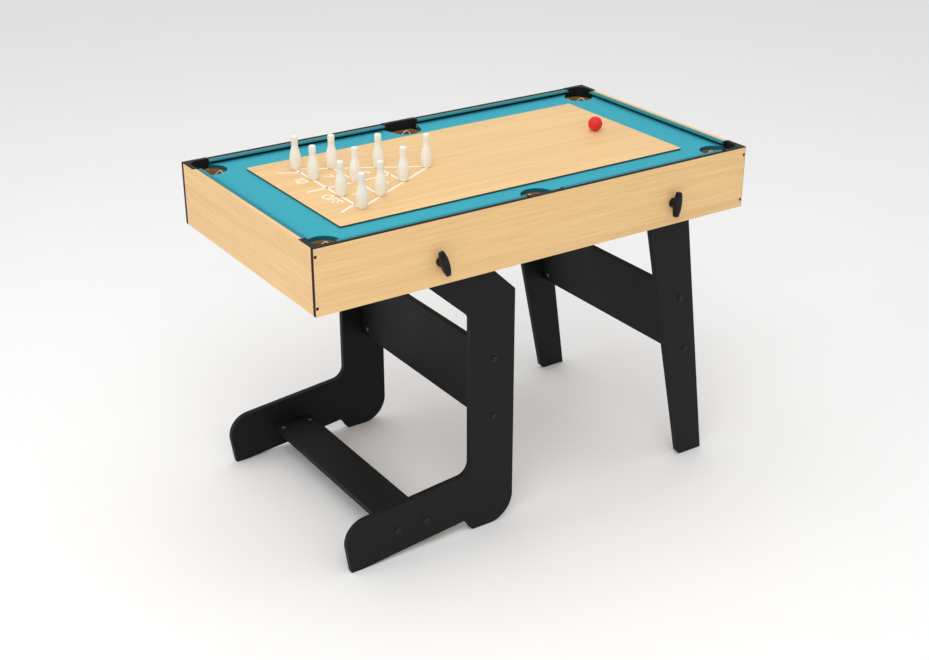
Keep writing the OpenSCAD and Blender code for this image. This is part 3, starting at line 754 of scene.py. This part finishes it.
class GAMESTABLE_OT_caps(bpy.types.Operator):
    """Finishes the moulded pocket caps"""

    bl_idname = "games_table.caps"
    bl_label = "Pocket caps"
    bl_options = {"REGISTER", "UNDO"}

    def execute(self, context):
        sizes = context.scene.games_table_sizes
        colours = context.scene.games_table_colours
        plastic = moulded("Cap plastic", colours.cap, 0.46, 0.22)
        for side in SIDES:
            for where in (*ENDS, "middle"):
                eased(f"cap_{side}_{where}", plastic, sizes.cap_edge, 3)
        return {"FINISHED"}


class GAMESTABLE_OT_bags(bpy.types.Operator):
    """Builds the hanging pocket bags and the white cords in them"""

    bl_idname = "games_table.bags"
    bl_label = "Pocket bags"
    bl_options = {"REGISTER", "UNDO"}

    def execute(self, context):
        sizes = context.scene.games_table_sizes
        colours = context.scene.games_table_colours
        cloth = woven("Bag cloth", colours.bag, 0.9 * MM, 0.15 * MM, 0.15, 0.55, 0.3)
        cord = twisted_cord(colours)
        for side in SIDES:
            for where in (*ENDS, "middle"):
                self.bag(side, where, sizes, cloth, cord)
        return {"FINISHED"}

    def bag(self, side, where, sizes, cloth, cord):
        centre, rim = pocket(side, where)
        low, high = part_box(f"bag_{side}_{where}")
        deep = high.z - low.z
        wall = 1.2 * MM
        turn = {"left": 0.3, "right": 1.7, "middle": 0.9}[where] + (side == "rear") * 0.8
        flat = None
        if where == "middle":
            flat = abs((low.y if side == "front" else high.y) - centre.y) - wall

        def spot(angle, share, inset=0.0):
            """A point of the bag's cloth: angle round it, and share of the way down."""
            shell = curved_radius(share) * (rim - wall)
            fold = sizes.bag_fold * math.sin(math.pi * min(1.0, share * 1.25)) ** 2
            fold *= math.cos(9 * angle + turn) * 0.6 + math.cos(4 * angle - turn) * 0.4
            room = abs(sizes.bag_fold) * 0.6 * min(1.0, share / 0.12)
            radius = max(0.0, shell - room + fold - inset)
            x, y = radius * math.cos(angle), radius * math.sin(angle)
            if flat is not None:
                out = -y if side == "front" else y
                limit = flat - inset
                if out > limit:
                    y = -limit if side == "front" else limit
            sag = 0.6 * MM * math.sin(3 * angle + turn) * share
            return centre + Vector((x, y, -deep * fall(share) * 0.985 + sag))

        def curved_radius(share):
            steps = (
                (0, 1.0), (0.15, 0.985), (0.35, 0.965), (0.55, 0.935),
                (0.7, 0.87), (0.82, 0.7), (0.92, 0.42), (1.0, 0.0),
            )
            return between(steps, share)

        def fall(share):
            steps = (
                (0, 0.0), (0.15, 0.17), (0.35, 0.42), (0.55, 0.68),
                (0.7, 0.86), (0.82, 0.955), (0.92, 0.99), (1.0, 1.0),
            )
            return between(steps, share)

        def between(steps, at):
            for (a, low_value), (b, high_value) in zip(steps, steps[1:]):
                if at <= b:
                    t = (at - a) / (b - a)
                    return low_value + (high_value - low_value) * t
            return steps[-1][1]

        shape = Shape()
        around = 72
        rows = 26
        last = None
        for row in range(rows):
            ring = shape.ring([spot(math.tau * i / around, row / rows) for i in range(around)])
            if last is not None:
                shape.band(ring, last)
            last = ring
        shape.fan(last[::-1], spot(0, 1.0))
        node = f"bag_{side}_{where}"
        obj = shape.piece(node + "_hung", "table_top", [cloth], [node], "bag_cloth", 80, False)
        thick = obj.modifiers.new("Cloth", "SOLIDIFY")
        thick.thickness = wall
        thick.offset = -1.0

        cords = Shape()
        lift = sizes.cord * 0.5 + wall + 0.3 * MM
        meshes = 5
        levels = [0.02, 0.21, 0.42, 0.63]

        def draped(high_share, low_share, shift):
            """A zigzag cord that keeps to the cloth: rounded at the top, pointed at the bottom."""
            path = []
            steps = 16
            for i in range(meshes * steps):
                way = i / steps
                swing = abs(2 * (way % 1) - 1) ** 1.4
                share = high_share + (low_share - high_share) * swing
                path.append(spot(math.tau * (way + shift) / meshes + turn, share, lift))
            return path

        for k, (upper, lower) in enumerate(zip(levels, levels[1:])):
            cords.tube(draped(upper, lower, 0.5 * k), sizes.cord / 2, 10, closed=True)
        cords.piece(f"bag_{side}_{where}_cords", "table_top", [cord], (), "bag_cloth", 80)


class GAMESTABLE_OT_knobs(bpy.types.Operator):
    """Builds the four moulded T-knobs on their threaded studs"""

    bl_idname = "games_table.knobs"
    bl_label = "Knobs"
    bl_options = {"REGISTER", "UNDO"}

    def execute(self, context):
        colours = context.scene.games_table_colours
        nylon = moulded("Knob nylon", colours.knob, 0.30, 0.22)
        zinc = metal("Stud zinc", (0.60, 0.59, 0.56), 0.32, 1.0)
        joints = {j["child"]: j for j in frame["joints"]}
        for group, tilt in (("stand", 17), ("leg", -6)):
            for side in SIDES:
                node = f"knob_{group}_{side}"
                joint = joints[node]
                facing = Vector(joint["axis"])
                angle = math.radians(90 if facing.y < 0 else -90)
                turned = Matrix.Rotation(angle, 4, "X") @ Matrix.Rotation(math.radians(tilt), 4, "Z")
                place = Matrix.Translation(joint["pos_m"]) @ turned
                self.knob(node, place, nylon, zinc)
        return {"FINISHED"}

    def knob(self, node, place, nylon, zinc):
        low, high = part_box(node)
        face = place.translation.y
        out = max(abs(low.y), abs(high.y)) - abs(face)
        inside = abs(face) - min(abs(low.y), abs(high.y))
        shape = Shape()
        half, middle, end = 28 * MM, 9 * MM, 4.5 * MM
        hub = 12 * MM

        def outline(inset, z):
            """The bar's outline: two long bows between square ends."""
            ring = []
            long, wide, tip = half - inset, middle - inset, end - inset * 0.85
            for i in range(25):
                t = -1 + 2 * i / 24
                ring.append((wide - (wide - tip) * t * t, long * t))
            for i in range(1, 4):
                t = 1 - 2 * i / 4
                ring.append((tip * t, long))
            for i in range(25):
                t = 1 - 2 * i / 24
                ring.append((-(wide - (wide - tip) * t * t), long * t))
            for i in range(1, 4):
                t = -1 + 2 * i / 4
                ring.append((tip * t, -long))
            return [place @ Vector((x, y, z)) for x, y in ring]

        base = hub - 1.2 * MM
        steps = [
            (1.6, base), (0.9, base + 0.25 * MM), (0.25, base + 0.9 * MM), (0.0, base + 1.8 * MM),
            (0.0, out - 3.2 * MM), (0.2, out - 2.1 * MM), (0.7, out - 1.2 * MM), (1.5, out - 0.55 * MM),
            (2.6, out - 0.15 * MM),
        ]
        rings = [shape.ring(outline(inset * MM, z)) for inset, z in steps]
        for first, second in zip(rings, rings[1:]):
            shape.band(first, second)
        shape.face(rings[0][::-1])
        points = [place.inverted() @ shape.points[i] for i in rings[-1]]
        angles = [math.atan2(p.y, p.x) for p in points]
        last = rings[-1]
        dimple = ((3.3, 0.0), (3.0, 0.1), (2.7, 0.5), (2.2, 0.85), (1.2, 0.95))
        for radius, sunk in dimple:
            r, z = radius * MM, out - sunk * MM
            ring = shape.ring([place @ Vector((r * math.cos(a), r * math.sin(a), z)) for a in angles])
            shape.band(last, ring)
            last = ring
        shape.fan(last, place @ Vector((0, 0, out - 0.97 * MM)))
        r = 11 * MM
        shape.turned([
            (4.1 * MM, 0.3 * MM), (r - 0.6 * MM, 0.3 * MM), (r - 0.1 * MM, 0.7 * MM), (r, 1.3 * MM),
            (r - 0.15 * MM, 3 * MM),
            (r - 0.5 * MM, 8 * MM), (r - 0.8 * MM, hub - 1.4 * MM), (r - 1.1 * MM, hub - 0.7 * MM), (r - 1.8 * MM, hub),
            (4.1 * MM, hub + 0.1 * MM),
        ], place, 56)
        stud = [(0.0, -inside), (3.0 * MM, -inside)]
        z = -inside + 1.0 * MM
        while z < -0.2 * MM:
            stud += [(4.0 * MM, z), (4.0 * MM, z + 0.25 * MM), (3.45 * MM, z + 0.6 * MM), (3.45 * MM, z + 0.75 * MM)]
            z += 1.1 * MM
        stud += [(3.95 * MM, 1.0 * MM), (3.95 * MM, 4 * MM)]
        shape.turned(stud, place, 28, 1)
        shape.piece(node + "_moulded", body_of(node), [nylon, zinc], [node], "knob_plastic", 42)


class GAMESTABLE_OT_board(bpy.types.Operator):
    """Finishes the game board, and prints its scoring triangle on it"""

    bl_idname = "games_table.board"
    bl_label = "Game board"
    bl_options = {"REGISTER", "UNDO"}

    def execute(self, context):
        sizes = context.scene.games_table_sizes
        colours = context.scene.games_table_colours
        board = eased("game_board", wood_print("Board print", colours, 0), sizes.board_edge)
        # The board's side faces take a dark olive-green colour.
        board.data.materials.append(moulded("Board dark sides", (0.035, 0.075, 0.062), 0.5, 0.2))
        for face in board.data.polygons:
            if abs(face.normal.z) < 0.5:
                face.material_index = 1
        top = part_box("game_board")[1].z
        pins = [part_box(f"pin_{n}") for n in range(1, 11)]
        rows = sorted({round((low.x + high.x) / 2, 4) for low, high in pins})
        base, tip = rows[0] - 3.5 * MM, rows[-1] + 5 * MM
        slope = 0.572
        self.top = top
        self.shape = Shape()
        wide = lambda x: slope * (tip - x)
        w = sizes.line
        second, third = rows[1] - 0.5 * MM, rows[2] - 4 * MM
        self.stroke([(tip, 0), (base, wide(base)), (base, -wide(base))], w, True)
        for x in (second, third):
            self.stroke([(x, wide(x)), (x, -wide(x))], w)
        self.stroke([(base - 46 * MM, 0), (third, 0)], w)
        for s in (-1, 1):
            self.stroke([(base, s * 117 * MM), (base - 45 * MM, s * 142 * MM)], w)
        h = sizes.numeral
        self.word("10", base - 24 * MM, 70 * MM, h)
        self.word("OFF", base - 24 * MM, -66 * MM, h)
        for s in (-1, 1):
            self.word("7", (base + second) / 2, s * 63 * MM, h)
            self.word("8", (second + third) / 2, s * 38 * MM, h)
        self.word("10", third + 26 * MM, 0, h * 0.9)
        self.shape.piece("board_print", "game_board", [white_ink(colours)], (), "printed_maple", 30)
        return {"FINISHED"}

    def stroke(self, path, width, closed=False):
        """A printed line of even width, mitred at its corners."""
        path = [Vector((x, y)) for x, y in path]
        count = len(path)
        left, right = [], []
        for i, p in enumerate(path):
            before = path[i - 1] if closed or i else None
            after = path[(i + 1) % count] if closed or i < count - 1 else None
            d1 = (p - before).normalized() if before is not None else (after - p).normalized()
            d2 = (after - p).normalized() if after is not None else d1
            n1, n2 = Vector((-d1.y, d1.x)), Vector((-d2.y, d2.x))
            n = (n1 + n2).normalized()
            reach = width / 2 / max(0.35, n.dot(n1))
            left.append(p + n * reach)
            right.append(p - n * reach)
        low, high = self.top + 0.01 * MM, self.top + 0.09 * MM
        rings = [
            self.shape.ring([Vector((p.x, p.y, z)) for p in side])
            for side, z in ((left, low), (left, high), (right, high), (right, low))
        ]
        for first, second in zip(rings, rings[1:] + rings[:1]):
            self.shape.band(first, second, closed=closed)
        if not closed:
            self.shape.face([r[0] for r in rings])
            self.shape.face([r[-1] for r in rings][::-1])

    GLYPHS = {
        "0": [("loop", (0.0, 0.0, 0.29, 0.43))],
        "O": [("loop", (0.0, 0.0, 0.36, 0.43))],
        "1": [("line", [(-0.16, 0.24), (0.02, 0.43), (0.02, -0.43)])],
        "7": [("line", [(-0.28, 0.43), (0.29, 0.43), (-0.08, -0.43)])],
        "8": [("loop", (0.0, 0.22, 0.22, 0.21)), ("loop", (0.0, -0.22, 0.27, 0.22))],
        "F": [("line", [(0.26, 0.43), (-0.22, 0.43), (-0.22, -0.43)]), ("line", [(-0.22, 0.02), (0.17, 0.02)])],
    }
    WIDTHS = {"0": 0.78, "1": 0.52, "7": 0.7, "8": 0.7, "O": 0.92, "F": 0.70}

    def word(self, text, x, y, height):
        """Prints numerals that read from the table's left end: upwards is +X and the line runs towards -Y."""
        run = -sum(self.WIDTHS[c] for c in text) / 2
        for c in text:
            mid = run + self.WIDTHS[c] / 2
            for kind, data in self.GLYPHS[c]:
                if kind == "line":
                    path = [(x + v * height, y - (mid + u) * height) for u, v in data]
                    self.stroke(path, height * 0.16)
                else:
                    cu, cv, ru, rv = data
                    turn = [math.tau * i / 28 for i in range(28)]
                    path = [
                        (x + (cv + rv * math.sin(a)) * height, y - (mid + cu + ru * math.cos(a)) * height) for a in turn
                    ]
                    self.stroke(path, height * 0.16, True)
            run += self.WIDTHS[c]


class GAMESTABLE_OT_pins(bpy.types.Operator):
    """Turns the ten pins"""

    bl_idname = "games_table.pins"
    bl_label = "Pins"
    bl_options = {"REGISTER", "UNDO"}

    PROFILE = (
        (0.60, 0.012), (0.68, 0.002), (0.74, 0.0), (0.79, 0.008), (0.84, 0.03), (0.92, 0.10),
        (0.985, 0.19), (1.0, 0.275),
        (0.975, 0.37), (0.88, 0.465), (0.735, 0.56), (0.615, 0.64), (0.562, 0.705), (0.555, 0.76), (0.572, 0.795),
        (0.598, 0.815), (0.60, 0.87), (0.60, 0.935), (0.575, 0.972), (0.50, 0.992), (0.30, 0.999), (0.0, 1.0),
    )

    def execute(self, context):
        sizes = context.scene.games_table_sizes
        colours = context.scene.games_table_colours
        plastic = pin_plastic(colours)
        for n in range(1, 11):
            low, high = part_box(f"pin_{n}")
            centre = Vector(((low.x + high.x) / 2, (low.y + high.y) / 2, low.z))
            radius, tall = (high.x - low.x) / 2, high.z - low.z
            line = curved([Vector((r * radius, h * tall)) for r, h in self.PROFILE], 3)
            profile = [(0.0, 0.012 * tall)] + [(max(0.0, min(p.x, radius)), min(max(p.y, 0.0), tall)) for p in line]
            shape = Shape()
            shape.turned(profile, Matrix.Translation(centre), sizes.pin_sides)
            shape.piece(f"pin_{n}_turned", f"pin_{n}", [plastic], [f"pin_{n}"], "pin_plastic", 70)
        return {"FINISHED"}


class GAMESTABLE_OT_ball(bpy.types.Operator):
    """Builds the ball"""

    bl_idname = "games_table.ball"
    bl_label = "Ball"
    bl_options = {"REGISTER", "UNDO"}

    def execute(self, context):
        colours = context.scene.games_table_colours
        low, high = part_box("ball")
        centre, radius = (low + high) / 2, (high.z - low.z) / 2
        shape = Shape()
        profile = []
        for i in range(49):
            a = math.pi * (i / 48 - 0.5)
            seam = 0.9975 if i == 24 else 1.0
            profile.append((max(0.0, radius * math.cos(a) * seam) if 0 < i < 48 else 0.0, radius * math.sin(a)))
        tilt = Matrix.Rotation(math.radians(35), 4, "X") @ Matrix.Rotation(math.radians(20), 4, "Y")
        shape.turned(profile, Matrix.Translation(centre) @ tilt, 96)
        shape.piece("ball_moulded", "ball", [ball_plastic(colours)], ["ball"], "ball_plastic", 40)
        return {"FINISHED"}


class GAMESTABLE_OT_stage(bpy.types.Operator):
    """Sets up the floor, the studio light and the camera"""

    bl_idname = "games_table.stage"
    bl_label = "Stage"
    bl_options = {"REGISTER", "UNDO"}

    def execute(self, context):
        colours = context.scene.games_table_colours
        scene = bpy.context.scene
        made = Finish("Studio floor")
        dust = made.cloud((3, 3, 3), 2, 0.5)
        tone = made.mix(dust, colours.floor, shade(colours.floor, 1.02))
        material = made.end(tone, 0.7 + dust * 0.1)
        mesh = bpy.data.meshes.new("floor")
        half = 9.0
        ground = CAD_BOX[0].z - 0.5 * MM
        corners = [(x * half, y * half, ground) for x, y in ((-1, -1), (1, -1), (1, 1), (-1, 1))]
        mesh.from_pydata(corners, [], [(0, 1, 2, 3)])
        mesh.materials.append(material)
        floor = bpy.data.objects.new("floor", mesh)
        scene.collection.objects.link(floor)

        scene.view_settings.view_transform = "Standard"
        world = bpy.data.worlds.new("Studio")
        world.use_nodes = True
        world.node_tree.nodes["Background"].inputs["Color"].default_value = (1, 1, 1, 1)
        world.node_tree.nodes["Background"].inputs["Strength"].default_value = 0.74
        scene.world = world

        low, high = CAD_BOX
        middle = (low + high) / 2
        for name, place, size, power in (
            ("Key light", (-1.6, -2.2, 3.0), 2.4, 52),
            ("Top light", (0.4, 0.6, 3.2), 3.0, 20),
            ("Side light", (-3.4, 0.6, 1.7), 2.0, 16),
        ):
            data = bpy.data.lights.new(name, "AREA")
            data.shape = "SQUARE"
            data.size = size
            data.energy = power
            light = bpy.data.objects.new(name, data)
            light.location = middle + Vector(place)
            light.rotation_euler = (middle - light.location).to_track_quat("-Z", "Y").to_euler()
            scene.collection.objects.link(light)

        data = bpy.data.cameras.new("Camera")
        data.sensor_width = 36.0
        data.lens = 57.204
        data.clip_end = 50
        camera = bpy.data.objects.new("Camera", data)
        azimuth, elevation = math.radians(-33.563), math.radians(25.315)
        back = Vector((
            math.sin(azimuth) * math.cos(elevation), -math.cos(azimuth) * math.cos(elevation), math.sin(elevation),
        ))
        aim = Vector((middle.x, middle.y + 13.2 * MM, ground + 0.3272))
        camera.location = aim + back * 3.463
        camera.rotation_euler = (math.pi / 2 - elevation, 0, azimuth)
        scene.collection.objects.link(camera)
        scene.camera = camera
        return {"FINISHED"}


class GAMESTABLE_PT_side(bpy.types.Panel):
    """Lists the steps and the settings"""

    bl_label = "Games table"
    bl_idname = "GAMESTABLE_PT_side"
    bl_space_type = "VIEW_3D"
    bl_region_type = "UI"
    bl_category = "Games table"

    def draw(self, context):
        for step in STEPS:
            self.layout.operator(step.bl_idname)
        for group in (context.scene.games_table_sizes, context.scene.games_table_colours):
            for name in group.__annotations__:
                self.layout.prop(group, name)


STEPS = (
    GAMESTABLE_OT_stage,
    GAMESTABLE_OT_panels,
    GAMESTABLE_OT_legs,
    GAMESTABLE_OT_fasteners,
    GAMESTABLE_OT_bed,
    GAMESTABLE_OT_cushions,
    GAMESTABLE_OT_caps,
    GAMESTABLE_OT_bags,
    GAMESTABLE_OT_knobs,
    GAMESTABLE_OT_board,
    GAMESTABLE_OT_pins,
    GAMESTABLE_OT_ball,
)
CLASSES = (GamesTableSizes, GamesTableColours, *STEPS, GAMESTABLE_PT_side)


def register():
    for cls in CLASSES:
        bpy.utils.register_class(cls)
    bpy.types.Scene.games_table_sizes = PointerProperty(type=GamesTableSizes)
    bpy.types.Scene.games_table_colours = PointerProperty(type=GamesTableColours)


def unregister():
    del bpy.types.Scene.games_table_colours
    del bpy.types.Scene.games_table_sizes
    for cls in reversed(CLASSES):
        bpy.utils.unregister_class(cls)


def main():
    register()
    for step in STEPS:
        getattr(bpy.ops.games_table, step.bl_idname.split(".")[1])()


if __name__ == "__main__":
    main()
